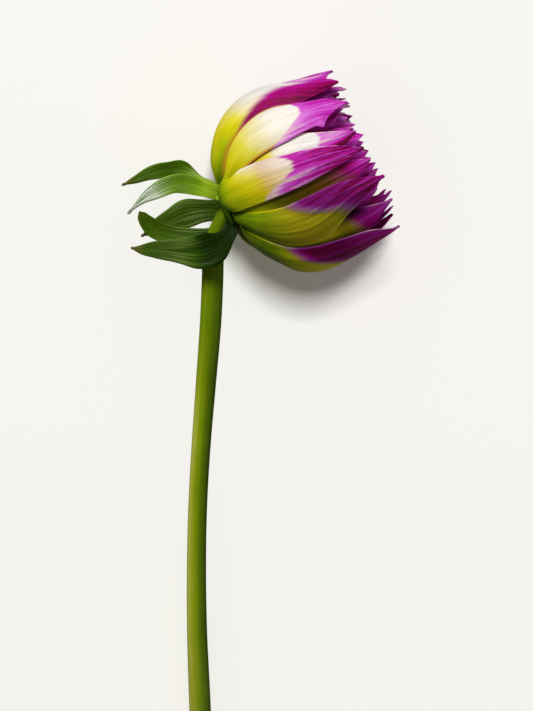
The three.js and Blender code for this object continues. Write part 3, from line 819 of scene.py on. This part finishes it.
def inner_petal(surface, share, angle, random, number):
    """One inner petal: a narrow cupped blade that rises from the core along the axis.

    share goes from 0 in the middle of the mouth to 1 at its rim.
    """
    mouth_draw = MOUTH_TAPER * MOUTH_PAST**2
    radius = (BUD_RADIUS - mouth_draw - CORE_DEPTH - 0.2) * share
    half = between(*INNER_HALF_WIDTH, share)
    end = between(*INNER_END, share) + 1.6 * (random() - 0.5)
    end += share * (2.6 * random() - 0.7)
    root = between(*INNER_ROOT, share * share)
    lean = INNER_LEAN * (1 - share)
    own = seeded(100 + number)
    curl = INNER_CURL * (own() - 0.35) * share**3
    twist = INNER_TWIST * (own() - 0.5)
    tint = INNER_TINT * (own() - 0.5)

    def points(part, places):
        """The points at a share of the petal's length, for places across it."""
        along = between(root, end, part)
        bulge = MOUTH_TAPER * (along - EQUATOR_ALONG) ** 2 - mouth_draw
        middle = max(radius - bulge * share - lean * part * radius + curl * part**4, 0.4)
        out = half * places
        sunk = 0.35 * half * places**2 * (1.3 - share) + 0.25 * bump(places, 0, 0.12) * part
        turn = np.degrees(np.arctan2(out, np.maximum(middle - sunk, 0.3)))
        return bloom_point(along, np.hypot(middle - sunk, out), angle + turn + twist * part**3)

    cells_along, cells_across = INNER_CELLS
    v = np.linspace(-1, 1, cells_across + 1)
    pale_sides = 0.3 * smooth(np.abs(v), 0.75, 1) + 0.1 * bump(v, 0, 0.15)
    grid, looks = [], []
    for part in np.linspace(0, 1, cells_along + 1)[:-1]:
        width = through(INNER_SHAPE, part)[1]
        along = between(root, end, part)
        pale = (pale_sides + 0.22 * smooth(part, 0.7, 1)) * smooth(part, 0.4, 0.9)
        grid.append(points(part, v * width))
        looks.append({
            "along": along, "across": v * width * half / STREAK_WIDTH, "seed": 2.3 * number,
            "ripe": 0.45 + 0.3 * share, "flush": (along - 26 - 3 * (1 - share)) / 2, "ragged": 2.0,
            "hue": 0.6 + tint - pale, "streaky": 0.25,
        })
    surface.blade(grid, points(1, 0.0), thinned(v, *INNER_THICKNESS), looks)


# ---------------- curves in space
def curve_point(centres, u):
    """A centripetal Catmull-Rom curve through the centres, u from 0 to 1."""
    place = u * (len(centres) - 1)
    i = min(int(place), len(centres) - 2)
    b, c = centres[i], centres[i + 1]
    a = centres[i - 1] if i > 0 else 2 * b - c
    d = centres[i + 2] if i + 2 < len(centres) else 2 * c - b
    gap_a, gap_b, gap_c = (math.sqrt(np.linalg.norm(q - p)) for p, q in ((a, b), (b, c), (c, d)))
    leave = ((b - a) / gap_a - (c - a) / (gap_a + gap_b) + (c - b) / gap_b) * gap_b
    arrive = ((c - b) / gap_b - (d - b) / (gap_b + gap_c) + (d - c) / gap_c) * gap_b
    return hermite(place - i, b, leave, c, arrive)


def unit(vector):
    return vector / np.linalg.norm(vector)


def curve_frame(centres, u, tangent=None):
    """Directions at a place of the curve: along it, level across it, and up from both."""
    if tangent is None:
        before, after = max(u - 1e-4, 0), min(u + 1e-4, 1)
        tangent = unit(curve_point(centres, after) - curve_point(centres, before))
    level = unit(np.cross(tangent, UP))
    return tangent, level, unit(np.cross(level, tangent))


# ---------------- bracts
# Each row: middle of the blade (x, y, z), half its width, and its twist in degrees.
BRACTS = {
    "facing": [
        (-22.4, -5.1, 30.4, 2, 0), (-24.6, -4.6, 31, 2.1, -6), (-27.1, -3.9, 31, 2.4, -8),
        (-30.4, -2.9, 30.5, 2.6, -8), (-33.6, -2.7, 29.6, 2.65, -6), (-36.9, -3.6, 28.4, 2.5, -4),
        (-40.1, -5.1, 27, 1.9, 0), (-43.3, -7.3, 25.6, 1, 0), (-46.8, -10.7, 24.2, 0, 0),
    ],
    "upper": [
        (-23.4, -3.3, 23.2, 1.2, -50), (-24.6, -2.4, 23.4, 1.1, -50), (-27.2, -1.2, 23.2, 1.1, -50),
        (-29.8, 0.3, 22.8, 1.9, -45), (-32.6, 1.5, 22.4, 2.5, -5), (-35.4, 1.6, 22, 2.3, 14),
        (-38.2, 1.2, 21.6, 2.1, 10), (-41.2, 0.4, 21.2, 1.7, 8), (-44.8, -1.2, 20.8, 1.1, 6),
        (-48.6, -2.7, 20.4, 0, 6),
    ],
    "behind": [
        (-20.7, -9.2, 19.4, 2.6, 0), (-23.9, -9.4, 17.6, 3, 4), (-27.7, -9.6, 16.6, 3.4, 6),
        (-31.6, -10.3, 16, 3.8, 8), (-35.6, -12, 15.6, 3, 6), (-38.8, -13.7, 15.2, 2.1, 4),
        (-41.2, -15.2, 15, 1.1, 0), (-43.4, -16.4, 14.8, 0, 0),
    ],
    "low": [
        (-18.3, -14.4, 23, 2.4, -40), (-20.6, -15.4, 19.6, 2.2, -25), (-24.6, -16, 17.8, 1.9, -10),
        (-28.7, -16.5, 17.4, 2.2, 0), (-32.6, -16.4, 17.4, 2.5, 4), (-36.4, -15.7, 17.8, 2.7, 6),
        (-39.7, -14.4, 18.2, 2.5, 4), (-42, -12.3, 18.6, 1.9, 0), (-43.2, -10.6, 18.8, 1.3, 0),
        (-43.8, -9.7, 19, 0, 0),
    ],
    "large": [
        (-18.4, -14.1, 29.8, 2, 0), (-19.9, -16.9, 30.2, 2.4, 4), (-23, -19.6, 30, 4.6, 8),
        (-27.2, -20.8, 29.4, 4.6, 10), (-31.2, -20.8, 28.8, 3.8, 8), (-35.2, -20.5, 28, 3, 6),
        (-39.3, -20.3, 27, 2.2, 4), (-42.8, -20.3, 26.2, 1.4, 0), (-45.9, -19.8, 25.8, 0, 0),
    ],
}
# How light each bract's green is at its foot, its middle and its tip. The 'large' bract's dark foot is
# painted shade; the 'upper' bract's light foot is partly its pale curl and partly painted light on a
# side turned from the light.
BRACT_GREEN = {
    "facing": (0.9, 0.52, 0.5), "upper": (1.05, 0.38, 0.36), "behind": (0.28, 0.42, 0.16),
    "low": (0.28, 0.42, 0.36), "large": (-0.4, 0.14, 0.38),
}
# How much pale streaking each shows, by its share of the length, and how brown its tip is. Near the
# 'facing' bract's tip the strong streaks are partly pale veins and partly a painted highlight.
BRACT_PALE = {
    "facing": [(0, 0), (0.45, 0.04), (0.6, 0.4), (0.74, 0.95), (1, 0.95)],
    "upper": [(0, 0.1), (0.3, 0.45), (0.42, 0), (0.6, 0), (0.8, 0.12), (1, 0.05)],
    "behind": [(0, 0), (0.35, 0.25), (0.6, 0.12), (1, 0)],
    "low": [(0, 0.1), (0.35, 0.35), (0.6, 0.08), (1, 0)],
    "large": [(0, 0), (0.35, 0), (0.5, 0.16), (0.65, 0.12), (1, 0)],
}
BRACT_BROWN = {"facing": 0.2, "upper": 0.5, "behind": 0.9, "low": 0.6, "large": 0.8}
FIRST_BRACT, BRACT_SPACING = 40, 72  # angles round the bloom
FOOT_ALONG, FOOT_RADIUS, FOOT_SPREAD = -2.25, 5.8, 18  # of a bract's root in the receptacle
FOOT_ROWS = 4
BRACT_INSET = 0.2  # the fine blade lies this deep in its solid


def bract_colours(name, u, v):
    """The fields that colour a bract's points at one share of its length."""
    foot, middle, tip = BRACT_GREEN[name]
    green = between(foot, middle, smooth(u, 0.12, 0.45)) + (tip - middle) * smooth(u, 0.6, 1)
    margin = 0.22 * smooth(np.abs(v), 0.9, 1) + 0.08 * bump(v, 0, 0.08)
    return {
        "ripe": green + margin,
        "flush": through(BRACT_PALE[name], u)[1],
        "rim": BRACT_BROWN[name] * smooth(u, 0.82, 1),
    }


def bract(name, rows, root_angle, seed, material):
    centres = [np.array(row[:3], float) for row in rows]
    shape = [(i, half, twist) for i, (_, _, _, half, twist) in enumerate(rows)]
    phase = 6.3 * seeded(seed)()
    cells_along, cells_across = BRACT_CELLS
    v = np.linspace(-1, 1, cells_across + 1)
    folds = BRACT_FOLD * np.cos(5 * math.pi * v)
    keel = BRACT_KEEL * bump(v, 0, 0.08)

    def station(u):
        """The points across the blade at one share of its length."""
        _, half, twist = through(shape, u * (len(rows) - 1))
        tangent, level, steep = curve_frame(centres, u)
        turn = math.radians(twist)
        side = level * math.cos(turn) + steep * math.sin(turn)
        normal = unit(np.cross(side, tangent))
        wave = 1 + BRACT_WAVE * math.sin(17 * u + phase)
        bow = BRACT_BOW * half * (v * v - 0.5)
        lift = bow + BRACT_INSET + folds * min(half / 2, 1) - keel
        return curve_point(centres, u) + np.outer(half * wave * v, side) + np.outer(lift, normal)

    foot = bloom_point(FOOT_ALONG, FOOT_RADIUS, root_angle + FOOT_SPREAD * v)
    first = station(0)
    if np.linalg.norm(first[0] - foot[0]) > np.linalg.norm(first[0] - foot[-1]):
        foot = foot[::-1]
    shares = np.linspace(0, 1, cells_along + 1)[:-1]
    grid = [between(foot, first, share) for share in np.linspace(0, 1, FOOT_ROWS + 1)[:-1]]
    grid += [station(u) for u in shares]
    looks = [
        {"along": BRACT_LENGTH * u, "across": v, "seed": seed, **bract_colours(name, u, v)}
        for u in [0.0] * FOOT_ROWS + list(shares)
    ]
    blade = Surface()
    blade.blade(grid, centres[-1], thinned(v, *BRACT_THICKNESS), looks)
    blade.build("bract_" + name, "bracts", "bract", material)


def receptacle(material):
    """The round-edged disc that the bracts grow from, behind the petals."""
    top = outline(0)[0] - GAP
    profile = []
    for part in np.linspace(0, 1, 13):
        drawn_in = 1 - math.sqrt(max(1 - abs(2 * part - 1) ** 2.6, 0))
        radius = RECEPTACLE_RADIUS - RECEPTACLE_ROUND * drawn_in
        profile.append((top - RECEPTACLE_DEPTH * (1 - part), radius))
    disc = Surface()
    disc.turned(profile, {"ripe": 0.35, "seed": 9.0})
    disc.build("receptacle", "bracts", "bract", material)


def bracts(material):
    for number, (name, rows) in enumerate(BRACTS.items()):
        bract(name, rows, FIRST_BRACT + BRACT_SPACING * number, number + 21, material)
    receptacle(material)


# ---------------- stem
# Each row: middle of the stem (x, y, z) and its radius.
STEM = [
    (-22.7, -16.4, 24.6, 2.6), (-23.6, -21, 23, 2.95), (-23.8, -28, 21.2, 2.97),
    (-24.4, -40.4, 19.2, 2.95), (-25.7, -56.6, 16.6, 2.8), (-27, -72.9, 14, 2.65),
    (-28, -90, 11.2, 2.62), (-28.4, -107, 8.3, 2.68), (-28.3, -124, 5.7, 2.8),
    (-27.7, -141, 3.8, 2.98), (-27.2, -153.5, 2.95, 3.02),
]
# The neck: distance along the bloom's axis from its top, distance aside, and radius.
NECK = [(0.4, 1.4, 2.5), (-1.5, 3.2, 2.4)]
STEM_CORDS = 7
CORD_HEIGHT, FINE_CORD_HEIGHT = 0.05, 0.03
CUT_SHARES = (0.93, 0.75, 0.5, 0.25)  # of the radius: the rings on the cut face
CUT_HOLLOW = 0.25  # how deep its middle lies


def stem(material):
    top = outline(0)[0] - GAP - RECEPTACLE_DEPTH - GAP
    neck = [(*bloom_point(top + along, aside, -90), radius) for along, aside, radius in NECK]
    rows = [*neck, *STEM]
    centres = [np.array(row[:3], float) for row in rows]
    radii = [(i, row[3]) for i, row in enumerate(rows)]
    cells_along, sides = STEM_CELLS
    angles = np.arange(sides) * 2 * math.pi / sides
    cords = CORD_HEIGHT * np.cos(STEM_CORDS * angles)
    cords = cords + FINE_CORD_HEIGHT * np.cos((2 * STEM_CORDS + 3) * angles + 1) - CORD_HEIGHT
    rings, places = [], []
    for u in np.linspace(0, 1, cells_along + 1):
        tangent, level, over = curve_frame(centres, u, -ALONG if u == 0 else None)
        radius = through(radii, u * (len(rows) - 1))[1] + cords
        spokes = np.outer(radius * np.sin(angles), level) + np.outer(radius * np.cos(angles), over)
        rings.append(curve_point(centres, u) + spokes)
        places.append(np.linalg.norm(centres[0] - rings[-1].mean(0)))
    rim = rings[-1]
    for share in CUT_SHARES:
        rings.append(between(rim.mean(0), rim, share) - CUT_HOLLOW * (1 - share) * tangent)
        places.append(places[cells_along])
    points = np.concatenate(rings)
    past_top = (points - BASE) @ ALONG - top
    points = points - np.outer(np.maximum(past_top, 0), ALONG)
    along = np.repeat(places, sides)
    left = np.tile(np.sin(angles), len(rings))
    fields = {
        "along": along, "across": left, "seed": np.tile(np.cos(angles) * 2, len(rings)),
        # The green is painted with light and shade: lighter on the left side, which faces the light, and
        # darker towards the top under the bracts, where the two sides differ less.
        "ripe": 0.34 + 0.22 * smooth(along, 25, 60) + left * (0.1 + 0.5 * smooth(along, 20, 60)),
        "rim": 0.38 * smooth(along, 105, 150) * (1 + left),
        "inside": np.repeat(np.arange(len(rings)) > cells_along, sides).astype(float),
    }
    green = Surface()
    green.add(points, ring_faces(len(rings), sides), fields)
    green.build("stem_green", "stem", "stem", material)


# ---------------- floor, light and camera
FLOOR_REACH = 4.0  # metres
WORLD_STRENGTH = 0.14
# Each light: the direction it comes from, its distance and size in metres, and its power.
BLOOM_LIGHTS = {
    "key_light": ((-0.45, 0.55, 0.7), 2.0, (0.9, 0.9), 46.0),
    "fill_light": ((0.75, -0.25, 0.6), 2.0, (1.0, 1.0), 5.0),
    "mouth_light": ((0.95, 0.4, 0.3), 2.0, (1.0, 1.0), 9.0),
}
FLOOR_LAMP = ((0.02, 0.27, 1.0), 3.0, (0.4, 0.8), 73.0)


def floor():
    mesh = bpy.data.meshes.new("floor")
    corners = [(x * FLOOR_REACH, y * FLOOR_REACH, 0) for x, y in ((-1, -1), (1, -1), (1, 1), (-1, 1))]
    mesh.from_pydata(corners, [], [(0, 1, 2, 3)])
    mesh.materials.append(floor_material())
    plane = bpy.data.objects.new("floor", mesh)
    bpy.context.scene.collection.objects.link(plane)
    plane.visible_diffuse = False
    plane.visible_glossy = False
    return plane


def softbox(name, light, lit, state, shadows=()):
    """A light that shines only on the object `lit`, or on all but it, by the state.

    Where `shadows` are given, only these objects cast one.
    """
    direction, distance, size, power = light
    data = bpy.data.lights.new(name, "AREA")
    data.shape = "RECTANGLE"
    data.size, data.size_y = size
    data.energy = power
    lamp = bpy.data.objects.new(name, data)
    away = unit(np.array(direction, float))
    lamp.location = away * distance
    lamp.rotation_euler = Vector(-away).to_track_quat("-Z", "Y").to_euler()
    lamp.visible_camera = False
    bpy.context.scene.collection.objects.link(lamp)
    group = bpy.data.collections.new(name + "_link")
    group.objects.link(lit)
    group.collection_objects[0].light_linking.link_state = state
    lamp.light_linking.receiver_collection = group
    if shadows:
        casters = bpy.data.collections.new(name + "_shadow")
        for piece in shadows:
            casters.objects.link(piece)
        lamp.light_linking.blocker_collection = casters


def camera():
    data = bpy.data.cameras.new("camera")
    x, y, height = CAMERA_AT
    data.sensor_width = SENSOR
    data.lens = SENSOR * (height - AXIS_HEIGHT) / PICTURE_HEIGHT
    data.clip_start, data.clip_end = CLIP
    eye = bpy.data.objects.new("camera", data)
    eye.location = (x * MM, y * MM, height * MM)
    bpy.context.scene.collection.objects.link(eye)
    bpy.context.scene.camera = eye


def studio():
    scene = bpy.context.scene
    scene.view_settings.view_transform = "Standard"
    world = bpy.data.worlds.new("studio")
    world.use_nodes = True
    background = world.node_tree.nodes["Background"]
    background.inputs["Color"].default_value = (1, 1, 1, 1)
    background.inputs["Strength"].default_value = WORLD_STRENGTH
    scene.world = world
    plane = floor()
    heads = ("guard_petal", "inner_", "receptacle")
    bloom = [piece for piece in scene.objects if piece.name.startswith(heads)]
    for name, light in BLOOM_LIGHTS.items():
        softbox(name, light, plane, "EXCLUDE")
    softbox("floor_light", FLOOR_LAMP, plane, "INCLUDE", bloom)


camera()
guard_petals(petal_material("guard_petal", 2.6))
inner_petals(petal_material("inner_petal", 3.2))
bracts(bract_material())
stem(stem_material())
studio()
